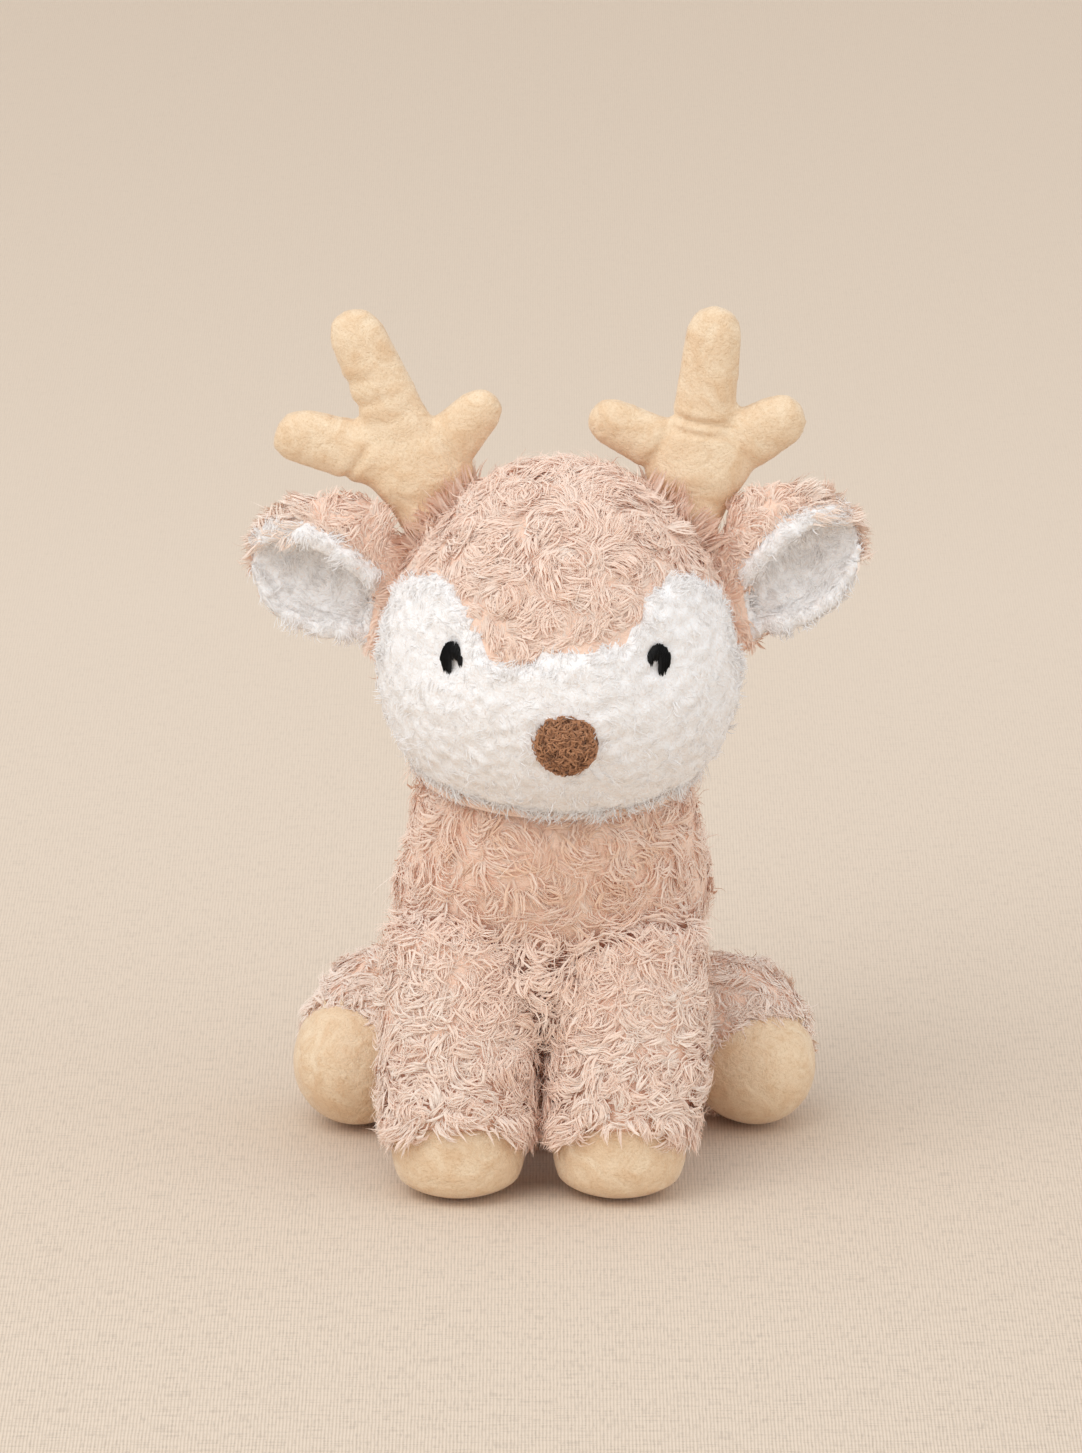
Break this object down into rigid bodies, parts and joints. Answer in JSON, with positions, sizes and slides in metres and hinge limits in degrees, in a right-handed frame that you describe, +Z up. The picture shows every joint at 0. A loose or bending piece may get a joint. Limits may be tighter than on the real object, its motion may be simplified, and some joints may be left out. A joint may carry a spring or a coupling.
{
  "type": "plush deer",
  "caption": "Sitting plush deer with a curly pink coat, a white fluffy face mask, cupped ears, cream three-pronged antlers and hooves; head, ears, antlers, legs and tail flex on sprung seams.",
  "frame": {"origin": "middle of the toy's bounding box in X and Y, on the floor that it sits on", "axes": "+Z up, the face towards -Y, and +X towards the right of a viewer in front of the toy"},
  "size_m": [0.206, 0.1652, 0.2915],
  "materials": {
    "pink_plush": "matte",
    "white_plush": "matte",
    "cream_velour": "matte",
    "brown_plush": "matte",
    "black_thread": "satin",
    "fibre_filling": "matte",
    "pellet_bag": "matte"
  },
  "bodies": {
    "torso": {"chest_panel": "pink_plush", "back_panel_left": "pink_plush", "back_panel_right": "pink_plush", "base_panel": "pink_plush", "torso_filling": "fibre_filling", "pellet_bag": "pellet_bag"},
    "neck": {"neck_filling": "fibre_filling"},
    "head": {"face_mask": "white_plush", "forehead_panel": "pink_plush", "head_back_left": "pink_plush", "head_back_right": "pink_plush", "head_filling": "fibre_filling", "nose": "brown_plush", "eye_left": "black_thread", "eye_right": "black_thread"},
    "ear_left": {"ear_left_back": "pink_plush", "ear_left_lining": "white_plush"},
    "ear_right": {"ear_right_back": "pink_plush", "ear_right_lining": "white_plush"},
    "antler_left": {"antler_left_front": "cream_velour", "antler_left_back": "cream_velour", "antler_left_filling": "fibre_filling"},
    "antler_right": {"antler_right_front": "cream_velour", "antler_right_back": "cream_velour", "antler_right_filling": "fibre_filling"},
    "foreleg_left": {"foreleg_left_sleeve": "pink_plush", "foreleg_left_hoof": "cream_velour", "foreleg_left_filling": "fibre_filling"},
    "foreleg_right": {"foreleg_right_sleeve": "pink_plush", "foreleg_right_hoof": "cream_velour", "foreleg_right_filling": "fibre_filling"},
    "hind_leg_left": {"hind_leg_left_sleeve": "pink_plush", "hind_leg_left_sole": "cream_velour", "hind_leg_left_filling": "fibre_filling"},
    "hind_leg_right": {"hind_leg_right_sleeve": "pink_plush", "hind_leg_right_sole": "cream_velour", "hind_leg_right_filling": "fibre_filling"},
    "tail": {"tail_top": "pink_plush", "tail_underside": "white_plush"}
  },
  "joints": [
    {"name": "neck_turn", "type": "hinge", "parent": "torso", "child": "neck", "pos_m": [-0.0003, -0.00549, 0.112], "axis": [0, 0, 1], "range_deg": [-20, 20], "stiffness_Nm_per_rad": 0.6},
    {"name": "head_nod", "type": "hinge", "parent": "neck", "child": "head", "pos_m": [-0.0003, -0.00549, 0.112], "axis": [1, 0, 0], "range_deg": [-10, 10], "stiffness_Nm_per_rad": 1.5},
    {"name": "ear_left_flap", "type": "hinge", "parent": "head", "child": "ear_left", "pos_m": [-0.05581, -0.00649, 0.191], "axis": [0.1994, 0, 0.9799], "range_deg": [-20, 20], "stiffness_Nm_per_rad": 0.03},
    {"name": "ear_right_flap", "type": "hinge", "parent": "head", "child": "ear_right", "pos_m": [0.05819, -0.00649, 0.191], "axis": [-0.1994, 0, 0.9799], "range_deg": [-20, 20], "stiffness_Nm_per_rad": 0.03},
    {"name": "antler_left_tilt", "type": "hinge", "parent": "head", "child": "antler_left", "pos_m": [-0.04281, 0.00051, 0.2195], "axis": [1, 0, 0], "range_deg": [-12, 12], "stiffness_Nm_per_rad": 0.12},
    {"name": "antler_right_tilt", "type": "hinge", "parent": "head", "child": "antler_right", "pos_m": [0.04519, 0.00051, 0.2195], "axis": [1, 0, 0], "range_deg": [-12, 12], "stiffness_Nm_per_rad": 0.12},
    {"name": "foreleg_left_lift", "type": "hinge", "parent": "torso", "child": "foreleg_left", "pos_m": [-0.03231, -0.05249, 0.088], "axis": [-1, 0, 0], "range_deg": [0, 25], "stiffness_Nm_per_rad": 0.5},
    {"name": "foreleg_right_lift", "type": "hinge", "parent": "torso", "child": "foreleg_right", "pos_m": [0.0247, -0.05249, 0.088], "axis": [-1, 0, 0], "range_deg": [0, 25], "stiffness_Nm_per_rad": 0.5},
    {"name": "hind_leg_left_lift", "type": "hinge", "parent": "torso", "child": "hind_leg_left", "pos_m": [-0.0557, 0.03351, 0.0295], "axis": [-1, 0, 0], "range_deg": [0, 25], "stiffness_Nm_per_rad": 0.4},
    {"name": "hind_leg_right_lift", "type": "hinge", "parent": "torso", "child": "hind_leg_right", "pos_m": [0.05919, 0.03351, 0.028], "axis": [-1, 0, 0], "range_deg": [0, 25], "stiffness_Nm_per_rad": 0.4},
    {"name": "tail_swing", "type": "hinge", "parent": "torso", "child": "tail", "pos_m": [-0.002, 0.05548, 0.038], "axis": [1, 0, 0], "range_deg": [-20, 10], "stiffness_Nm_per_rad": 0.03}
  ]
}
